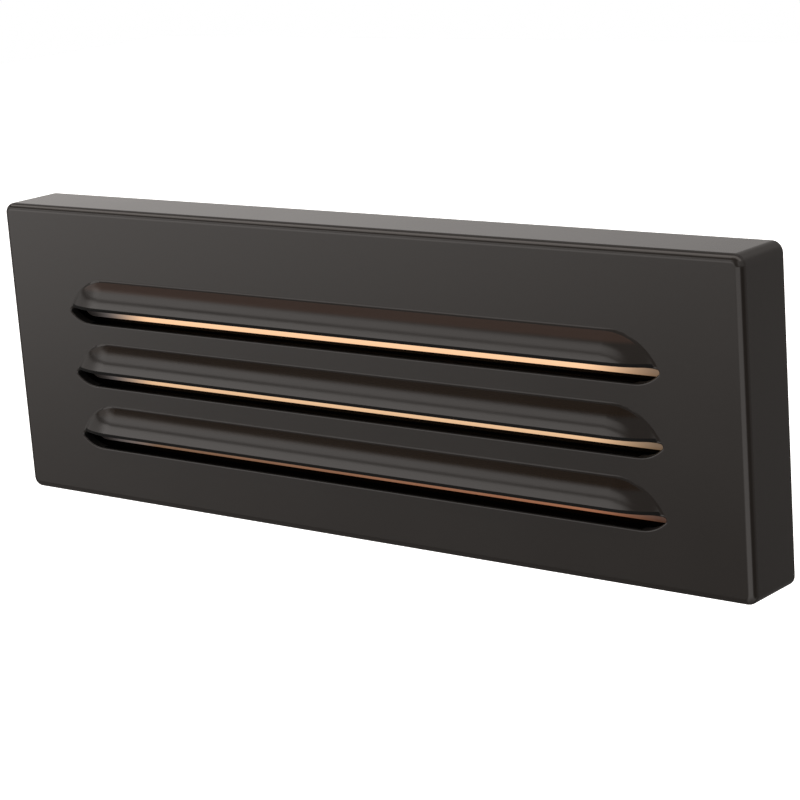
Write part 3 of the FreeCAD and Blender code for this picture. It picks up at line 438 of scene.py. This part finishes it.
# %% Join the sheets of painted shade
SHADE_SHEET_HALF, SHADE_SHEET_FRONT = 85 * MM, FACE + 0.4 * MM
SHADE_SHEET_LAP, SHADE_SHEET_THICK, FOAM_EDGE = 0.3 * MM, 0.15 * MM, 0.04 * MM

# Painted shade: a thin black sheet on each sill, where the painted metal would show.
for sill in SILLS:
    low = (-SHADE_SHEET_HALF, SHADE_SHEET_FRONT, sill)
    high = (SHADE_SHEET_HALF, seal_low[1] + SHADE_SHEET_LAP, sill + SHADE_SHEET_THICK)
    combine(seal, start_piece("sill_shade_sheet", low, high), "UNION")
apply_modifier(seal, "BEVEL", width=FOAM_EDGE, segments=1, limit_method="ANGLE")
seal.data.materials.clear()
seal.data.materials.append(foam_and_shade.material)
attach(seal, "cover")
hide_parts("lens_seal")
print(f"seal: {len(seal.data.polygons)} faces")

# %% [markdown]
# ## Zinc-coated sheet
# The pan and the lens frame are pressed from zinc-coated sheet. Molten zinc
# freezes in crystals, so the sheet shows spangles a few millimetres wide, each
# with its own grey and its own gloss, under fine scratches along the rolling
# direction. A cellular pattern gives each spangle one value, and a noise drawn
# out along the sheet gives the scratches.

# %% Make the zinc
SPANGLES, SCRATCHES, DRAWN_OUT = 260, 60, (1.0, 40.0, 40.0)

zinc = Finish("zinc_steel")
spangle = zinc.cells(SPANGLES, output="Color")
grain = zinc.noise(SCRATCHES, 4.0, zinc.stretched(DRAWN_OUT))
spangle_grey = zinc.blend(
    zinc.spread(spangle, 0.2, 0.8), (0.42, 0.43, 0.44), (0.60, 0.61, 0.62),
)
spangle_gloss = zinc.spread(spangle, 0.2, 0.8, 0.26, 0.40)
zinc.set(
    Base_Color=spangle_grey,
    Metallic=1.0,
    Roughness=zinc.calc("ADD", spangle_gloss, zinc.spread(grain, 0, 1, -0.04, 0.08)),
    Normal=zinc.relief(grain, depth=0.02 * MM, strength=0.3),
)
dress(zinc, "mounting_pan", "lens_frame")

# %% [markdown]
# ## Screws
# Screws are plated after they are made: the same grey as the sheet, with finer
# grain and no spangles. The set screws are oiled black and the earth screw is
# dyed green. All three coats are thin, so one helper makes them: two near
# colours, and a gloss that follows a fine grain.


# %% Make the screws' coats
def coated(name, dark, light, metal, gloss, grain, detail=3.0, wear=None):
    """Steel under a thin coat; its colour follows the wear, or the grain if it has no wear."""
    coat = Finish(name)
    frost = coat.noise(grain, detail)
    shade = coat.noise(wear) if wear else frost
    coat.set(
        Base_Color=coat.blend(shade, dark, light),
        Metallic=metal,
        Roughness=coat.sway(frost, *gloss),
        Normal=coat.relief(frost, depth=0.01 * MM, strength=0.4),
    )
    return coat


plated = coated(
    "plated_screws", (0.48, 0.48, 0.47), (0.66, 0.66, 0.64),
    metal=1.0, gloss=(0.22, 0.34), grain=1600, detail=2.0, wear=240,
)
blacked = coated(
    "black_steel", (0.018, 0.018, 0.020), (0.045, 0.043, 0.042),
    metal=0.8, gloss=(0.32, 0.48), grain=700,
)
dyed = coated(
    "earth_green", (0.02, 0.22, 0.07), (0.05, 0.36, 0.13),
    metal=0.7, gloss=(0.28, 0.42), grain=500,
)
dress(plated, "lens_frame_screws", "board_screws", "driver_case_screws", "driver_lid_screws")
dress(blacked, "set_screw_left", "set_screw_right")
dress(dyed, "ground_screw")

# %% [markdown]
# ## Moulded plastics
# All of these are injection moulded. A mould is either polished, which leaves a
# gloss with faint flow marks, or eroded by sparks, which leaves a fine even
# grain. One helper makes both: it takes two near colours, the gloss and the
# size and depth of the grain.


# %% Make the plastics
def moulded(name, dark, light, gloss, grain, depth):
    """A moulded plastic; gloss is (low, high) roughness, grain in cells per metre."""
    plastic = Finish(name)
    flow = plastic.noise(45, 3.0)
    pits = plastic.cells(grain)
    plastic.set(
        Base_Color=plastic.blend(flow, dark, light),
        Roughness=plastic.sway(flow, *gloss),
        Normal=plastic.relief(pits, depth=depth, strength=0.4),
    )
    return plastic


white_plastic = moulded(
    "white_plastic", (0.74, 0.74, 0.72), (0.82, 0.82, 0.80),
    gloss=(0.30, 0.38), grain=500, depth=0.03 * MM,
)
socket_plastic = moulded(
    "socket_plastic", (0.70, 0.67, 0.58), (0.78, 0.75, 0.66),
    gloss=(0.35, 0.42), grain=900, depth=0.02 * MM,
)
black_plastic = moulded(
    "black_plastic", (0.018, 0.018, 0.019), (0.028, 0.028, 0.030),
    gloss=(0.48, 0.60), grain=1500, depth=0.08 * MM,
)
terminal_grey = moulded(
    "terminal_grey", (0.36, 0.37, 0.37), (0.42, 0.43, 0.43),
    gloss=(0.34, 0.42), grain=900, depth=0.02 * MM,
)
dress(white_plastic, "reflector_tray")
dress(socket_plastic, "board_connector")
dress(black_plastic, "driver_case", "driver_lid")
dress(terminal_grey, "supply_terminal")

# %% [markdown]
# ## Sleeves and the thermal pad
# The leads' sleeves are drawn through a die and the pad is rolled, but both are
# soft and matt with a fine even grain, so the moulded finish suits them too.

# %% Make the sleeves and the pad
red_sleeve = moulded(
    "red_sleeve", (0.42, 0.018, 0.014), (0.52, 0.030, 0.022),
    gloss=(0.36, 0.46), grain=1200, depth=0.02 * MM,
)
black_sleeve = moulded(
    "black_sleeve", (0.012, 0.012, 0.012), (0.022, 0.022, 0.022),
    gloss=(0.36, 0.46), grain=1200, depth=0.02 * MM,
)
silicone_pad = moulded(
    "silicone_pad", (0.30, 0.36, 0.42), (0.36, 0.42, 0.48),
    gloss=(0.75, 0.85), grain=1600, depth=0.04 * MM,
)
dress(red_sleeve, "lead_positive")
dress(black_sleeve, "lead_negative")
dress(silicone_pad, "thermal_pad")

# %% [markdown]
# ## The supply wires
# The three wires are one piece of the frame, so one material colours them by
# where they run. Seen from the front, the left one is black, the middle one
# white and the right one green.

# %% Make the wires' sleeves
BETWEEN_WIRES = 2.7 * MM
BLACK_WIRE, WHITE_WIRE, GREEN_WIRE = (0.012, 0.012, 0.012), (0.68, 0.68, 0.66), (0.02, 0.24, 0.06)

sleeves = Finish("wire_sleeves")
across, deep, upward = sleeves.axes()
chalk = sleeves.noise(400)
left_pair = sleeves.blend(sleeves.above(across, -BETWEEN_WIRES), BLACK_WIRE, WHITE_WIRE)
all_three = sleeves.blend(sleeves.above(across, BETWEEN_WIRES), left_pair, GREEN_WIRE)
chalked = sleeves.sway(chalk, 0.0, 0.15)
sleeves.set(
    Base_Color=sleeves.blend(chalked, all_three, (0.5, 0.5, 0.5)),
    Roughness=sleeves.sway(chalk, 0.34, 0.46),
)
dress(sleeves, "supply_wires")

# %% [markdown]
# ## The lamp board
# The lamp board is a strip of aluminium with white solder mask on its front,
# and two copper tracks run under the mask from end to end, one above the lamps
# and one below. The pattern lies on the front alone, so the edges stay bare.

# %% Make the lamp board's face
MASK_BACK, TRACK_HALF, TRACKS = -4.95 * MM, 0.5 * MM, (11.2 * MM, 16.8 * MM)

mask = Finish("white_board")
across, deep, upward = mask.axes()
front_side = mask.below(deep, MASK_BACK)
low_track, high_track = (mask.near(upward, track, TRACK_HALF) for track in TRACKS)
tracks = mask.calc("ADD", low_track, high_track, clamp=True)
dust = mask.noise(120)
white = mask.blend(dust, (0.74, 0.74, 0.73), (0.82, 0.82, 0.80))
faced = mask.blend(tracks, white, (0.66, 0.67, 0.62))
mask.set(
    Base_Color=mask.blend(front_side, (0.55, 0.56, 0.57), faced),
    Metallic=mask.calc("SUBTRACT", 1.0, front_side),
    Roughness=mask.sway(dust, 0.28, 0.38),
    Normal=mask.relief(tracks, depth=0.04 * MM, strength=0.8),
)
dress(mask, "lamp_board")

# %% [markdown]
# ## The driver's board
# The driver's board is glass fibre with green mask over a maze of tracks and
# tinned joints. The borders between the cells of one pattern pass for tracks,
# and the middles of the cells of another for joints.

# %% Make the driver board's face
MAZE, TRACK_WIDE, JOINTS, JOINT_WIDE = 420, 0.10, 330, 0.13

circuit = Finish("circuit_green")
copper = circuit.below(circuit.cells(MAZE, "DISTANCE_TO_EDGE"), TRACK_WIDE)
solder = circuit.below(circuit.cells(JOINTS), JOINT_WIDE)
raised = circuit.calc("ADD", copper, solder)
green = circuit.blend(copper, (0.010, 0.085, 0.030), (0.025, 0.17, 0.06))
circuit.set(
    Base_Color=circuit.blend(solder, green, (0.62, 0.62, 0.60)),
    Metallic=solder,
    Roughness=circuit.sway(circuit.noise(200), 0.24, 0.36),
    Normal=circuit.relief(raised, depth=0.06 * MM, strength=0.8),
)
dress(circuit, "driver_circuit")

# %% [markdown]
# ## The wound parts
# Ferrite is a fired ceramic, dull and faintly speckled. The transformer's
# winding is under yellow tape, whose turns overlap in steps. The choke is bare
# lacquered copper wire, so its turns show as fine ribs. Steps and ribs both
# repeat along the depth, so a sawtooth and a wave along that axis make them.

# %% Make the ferrite and the windings
TAPE_STEP, WIRE_TURN = 2.5 * MM, 0.6 * MM

ferrite = Finish("ferrite")
speckle = ferrite.noise(2600, 2.0)
ferrite.set(
    Base_Color=ferrite.blend(speckle, (0.028, 0.028, 0.031), (0.055, 0.055, 0.058)),
    Roughness=ferrite.sway(speckle, 0.55, 0.75),
    Normal=ferrite.relief(speckle, depth=0.03 * MM, strength=0.4),
)
dress(ferrite, "driver_transformer")

tape = Finish("winding_tape")
across, deep, upward = tape.axes()
steps = tape.calc("FRACT", tape.times(deep, 1 / TAPE_STEP))
tape.set(
    Base_Color=tape.blend(steps, (0.52, 0.34, 0.03), (0.66, 0.46, 0.06)),
    Roughness=tape.sway(tape.noise(300), 0.24, 0.34),
    Normal=tape.relief(steps, depth=0.06 * MM, strength=0.6),
)
dress(tape, "transformer_winding")

wound = Finish("copper_winding")
across, deep, upward = wound.axes()
turns = wound.calc("SINE", wound.times(deep, 2 * math.pi / WIRE_TURN))
wound.set(
    Base_Color=wound.blend(wound.spread(turns, -1, 1), (0.20, 0.06, 0.02), (0.62, 0.25, 0.10)),
    Metallic=0.9,
    Roughness=0.28,
    Normal=wound.relief(turns, depth=0.12 * MM, strength=0.8),
)
dress(wound, "driver_choke")

# %% [markdown]
# ## The capacitor
# The capacitor wears a blue shrink sleeve with a pale stripe down one side, and
# its bare aluminium end faces the wall. Two thresholds on its place tell the
# three apart.

# %% Make the capacitor's sleeve
CAN_END, STRIPE_FROM = 19.7 * MM, 14.8 * MM

sleeve = Finish("can_sleeve")
across, deep, upward = sleeve.axes()
bare_end = sleeve.above(deep, CAN_END)
stripe = sleeve.above(across, STRIPE_FROM)
wrap = sleeve.blend(stripe, (0.012, 0.018, 0.085), (0.42, 0.45, 0.50))
shrink = sleeve.noise(250)
sleeve.set(
    Base_Color=sleeve.blend(bare_end, wrap, (0.70, 0.71, 0.72)),
    Metallic=bare_end,
    Roughness=sleeve.sway(shrink, 0.22, 0.32),
    Normal=sleeve.relief(shrink, depth=0.04 * MM, strength=0.3),
)
dress(sleeve, "driver_capacitor")

# %% [markdown]
# ## The lamps
# Each lamp is a small moulded package. Its body is a white frame with a rounded
# well, and the chip lies in the well under yellow phosphor that shines. One is
# modelled from a block: the front is inset and pressed in for the well, the
# well's floor gets the phosphor, and the edges are bevelled. The bevel leaves
# some points on one spot, so these are merged. Then the lamp is copied along
# the board, each copy with a mesh of its own.

# %% Make the lamps' finishes
phosphor = Finish("lamp_phosphor")
grit = phosphor.noise(5000, 2.0)
phosphor.set(
    Base_Color=phosphor.blend(grit, (0.80, 0.55, 0.16), (0.90, 0.68, 0.26)),
    Roughness=0.5,
    Emission_Color=phosphor.blend(grit, (1.0, 0.55, 0.28), (1.0, 0.66, 0.38)),
    Emission_Strength=2.5,
)
package = moulded(
    "lamp_package", (0.76, 0.76, 0.74), (0.84, 0.84, 0.82),
    gloss=(0.32, 0.42), grain=2500, depth=0.01 * MM,
)
print(f"{phosphor.material.name} and {package.material.name}")


# %% Model one lamp
LAMP_WIDE, LAMP_THICK, LAMP_TALL = 3.5 * MM, 0.7 * MM, 2.8 * MM
LAMP_RIM, WELL_DEEP, WELL_ROUND, LAMP_EDGE = 0.4 * MM, 0.28 * MM, 0.5 * MM, 0.08 * MM
SAME_SPOT, SMOOTH_UNDER = 0.0005 * MM, math.radians(35)


def pick(piece, choose):
    """Select, in edit mode, the faces that the chooser accepts, and nothing else."""
    bpy.ops.mesh.select_mode(type="FACE")
    bpy.ops.mesh.select_all(action="DESELECT")
    mesh = bmesh.from_edit_mesh(piece.data)
    for face in mesh.faces:
        face.select_set(choose(face))
    bmesh.update_edit_mesh(piece.data)


lamp_low, lamp_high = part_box("lamps")
lamp_middle = (Vector(lamp_low) + Vector(lamp_high)) / 2
half = Vector((LAMP_WIDE, LAMP_THICK, LAMP_TALL)) / 2
lamp = start_piece("lamp_01", lamp_middle - half, lamp_middle + half)
lamp.data.materials.append(package.material)
lamp.data.materials.append(phosphor.material)
bpy.ops.object.mode_set(mode="EDIT")
pick(lamp, lambda face: face.normal.y < -0.9)
bpy.ops.mesh.inset(thickness=LAMP_RIM)
bpy.ops.mesh.bevel(offset=WELL_ROUND, segments=4, affect="VERTICES")
bpy.ops.mesh.extrude_region_move(TRANSFORM_OT_translate={"value": (0, WELL_DEEP, 0)})
bpy.context.object.active_material_index = 1
bpy.ops.object.material_slot_assign()
bpy.ops.object.mode_set(mode="OBJECT")
apply_modifier(lamp, "BEVEL", width=LAMP_EDGE, segments=2, limit_method="ANGLE")
bpy.ops.object.mode_set(mode="EDIT")
bpy.ops.mesh.select_all(action="SELECT")
bpy.ops.mesh.remove_doubles(threshold=SAME_SPOT)
bpy.ops.object.mode_set(mode="OBJECT")
bpy.ops.object.shade_smooth_by_angle(angle=SMOOTH_UNDER)
print(f"lamp: {len(lamp.data.polygons)} faces")

# %% Copy it along the board
LAMP_COUNT, LAMP_PITCH = 12, 14 * MM

lamps = [lamp]
for number in range(2, LAMP_COUNT + 1):
    twin = lamp.copy()
    twin.data = lamp.data.copy()
    twin.name = twin.data.name = f"lamp_{number:02d}"
    bpy.context.collection.objects.link(twin)
    lamps.append(twin)
for number, piece in enumerate(lamps):
    shift = (number - (LAMP_COUNT - 1) / 2) * LAMP_PITCH
    piece.data.transform(Matrix.Translation((shift, 0, 0)))
    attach(piece, "base")
    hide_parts("lamps")
print(f"{len(lamps)} lamps, {LAMP_PITCH / MM:.0f} mm apart")

# %% [markdown]
# ## The studio
# Glossy paint shows its surroundings, so the studio is built as what the paint
# would see there. Lamps and cards could be placed one by one, but a world
# whose strength follows the direction gives the same soft reflections at once.
# Each region is a ramp over the height of the direction, and most are dimmed
# by a second ramp over how far to the left or right it points. A ramp holds
# values from 0 to 1, so the strengths are kept as shares of the brightest.


# %% Start the surroundings
class Surroundings(Nodes):
    """The studio seen in every direction."""

    def __init__(self, name):
        world = bpy.data.worlds.new(name)
        bpy.context.scene.world = world
        world.use_nodes = True
        self.tree = world.node_tree
        self.tree.nodes.clear()
        self.place = self.node("TexCoord").outputs["Generated"]

    def dimmed(self, light, share):
        """One light or colour times another."""
        return self.blend(1.0, light, share, "MULTIPLY")


BRIGHTEST = 2.0
studio = Surroundings("studio")
east, north, zenith = studio.axes()
level = studio.spread(zenith, -1, 1)
aside = studio.spread(east, -1, 1)


def heights(*stops):
    """A ramp over the direction's height, from -1 straight down to 1 straight up."""
    shares = [((height + 1) / 2, strength / BRIGHTEST) for height, strength in stops]
    return studio.ramp(level, *shares)


def along(*stops):
    """A ramp over the direction's share to the right, from -1 on the left to 1."""
    return studio.ramp(aside, *[((share + 1) / 2, dimming) for share, dimming in stops])


print(f"strengths are kept as shares of {BRIGHTEST:.0f}")

# %% [markdown]
# ## In front of the light
# On the left stands a tall bright window. Its light fades below the horizon and
# stops under a dark ceiling, and one thin bar crosses it: window and bar make
# the long bright and dark lines on the hoods. To the right the floor is pale
# and the side is dark, which draws the dark line down the cover's right edge,
# and a grey card stands above the horizon.

# %% Light the front
window = heights(
    (-1.0, 0.12), (-0.40, 0.28), (-0.29, 0.41), (-0.23, 0.67), (-0.18, 1.16), (-0.08, 1.90),
    (0.17, 1.90), (0.195, 0.35), (0.235, 0.35), (0.26, 1.55), (0.39, 1.50),
    (0.46, 0.15), (1.0, 0.30),
)
window_fall = along(
    (-1.0, 0.20), (-0.88, 0.35), (-0.78, 0.92), (-0.60, 0.84), (-0.50, 0.72), (-0.25, 0.50),
)
pale_floor = heights(
    (-1.0, 0.35), (-0.36, 1.56), (-0.30, 1.48), (-0.23, 1.34), (-0.17, 1.32),
    (-0.08, 0.15), (0.10, 0.12), (0.3, 0.15), (1.0, 0.20),
)
floor_fall = along((-0.30, 0.9), (0.62, 0.9), (0.80, 0.03), (1.0, 0.02))
card = studio.times(
    studio.ease(east, 0.30, 0.42, 0.0, 0.55), studio.ease(zenith, 0.0, 0.12), 1 / BRIGHTEST,
)
left_front = studio.dimmed(window, window_fall)
right_front = studio.blend(1.0, studio.dimmed(pale_floor, floor_fall), card, "ADD")
front = studio.blend(studio.ease(east, -0.40, -0.15), left_front, right_front)
print(f"front: {len(studio.tree.nodes)} nodes so far")

# %% [markdown]
# ## Behind and above the light
# Behind the light on the left is a white backdrop, which the cover's top
# mirrors at a flat angle. On the right it is dim behind the light, which keeps
# the right side of the cover dark. A strip lamp hangs overhead, a little in
# front of the light, and draws the bright line on the rounded edge between the
# face and the top.

# %% Light the back and hang the strip lamp
backdrop = heights(
    (-1.0, 0.05), (-0.30, 0.20), (0.0, 0.72), (0.08, 0.83), (0.24, 0.83),
    (0.34, 0.35), (0.52, 0.35), (1.0, 0.50),
)
backdrop_fall = along(
    (-1.0, 0.20), (-0.90, 0.35), (-0.78, 0.88), (-0.50, 0.62), (-0.36, 1.0), (1.0, 1.0),
)
dim_back = heights(
    (-1.0, 0.10), (-0.35, 0.18), (-0.15, 0.29), (0.30, 0.32), (0.60, 0.55), (1.0, 0.40),
)
left_back = studio.dimmed(backdrop, backdrop_fall)
back = studio.blend(studio.ease(east, -0.1, 0.3), left_back, dim_back)
around = studio.blend(studio.ease(north, -0.05, 0.45), front, back)

strip_near = studio.ease(north, -0.52, -0.36)
strip_far = studio.ease(north, 0.02, 0.16, 1.0, 0.0)
strip_high = studio.ease(zenith, 0.58, 0.68)
overhead = studio.times(strip_near, strip_far, strip_high)
around = studio.blend(overhead, around, (0.90, 0.87, 0.84))
print(f"front, back and strip lamp: {len(studio.tree.nodes)} nodes so far")

# %% [markdown]
# ## What the camera sees
# The photograph's background is pure white, and the light is a little warm. So
# the camera's own rays get plain white, and all other rays get the studio.

# %% Join the surroundings
WARM = (1.0, 0.955, 0.925)

felt = studio.node("Background", studio.dimmed(around, WARM), BRIGHTEST)
seen = studio.node("Background", (1, 1, 1, 1), 1.0)
camera_ray = studio.node("LightPath").outputs["Is Camera Ray"]
either = studio.node("MixShader", camera_ray, felt.outputs[0], seen.outputs[0])
studio.node("OutputWorld", either.outputs[0])
bpy.context.scene.view_settings.view_transform = "Standard"
print(f"surroundings: {len(studio.tree.nodes)} nodes")

# %% [markdown]
# ## The floor
# The photograph shows no ground: all round the light it is pure white. So the
# floor is plain pale paper far below the light, out of the picture. Only the
# camera sees it, so it neither lights the underside nor shows in the paint.

# %% Lay the floor
FLOOR_WIDE, FLOOR_LEVEL = 12, -0.7

bpy.ops.object.select_all(action="DESELECT")
bpy.ops.mesh.primitive_plane_add(size=FLOOR_WIDE, location=(0, 0, FLOOR_LEVEL))
floor = bpy.context.object
floor.name = "floor"
paper = Finish("white_paper")
fibre = paper.noise(40)
paper.set(
    Base_Color=paper.blend(fibre, (0.88, 0.88, 0.88), (0.92, 0.92, 0.92)),
    Roughness=0.9,
    Emission_Color=(1, 1, 1),
    Emission_Strength=1.0,
)
floor.data.materials.append(paper.material)
floor.visible_diffuse = floor.visible_glossy = floor.visible_shadow = False
print(f"floor {FLOOR_WIDE} m wide, {-FLOOR_LEVEL} m below the light")
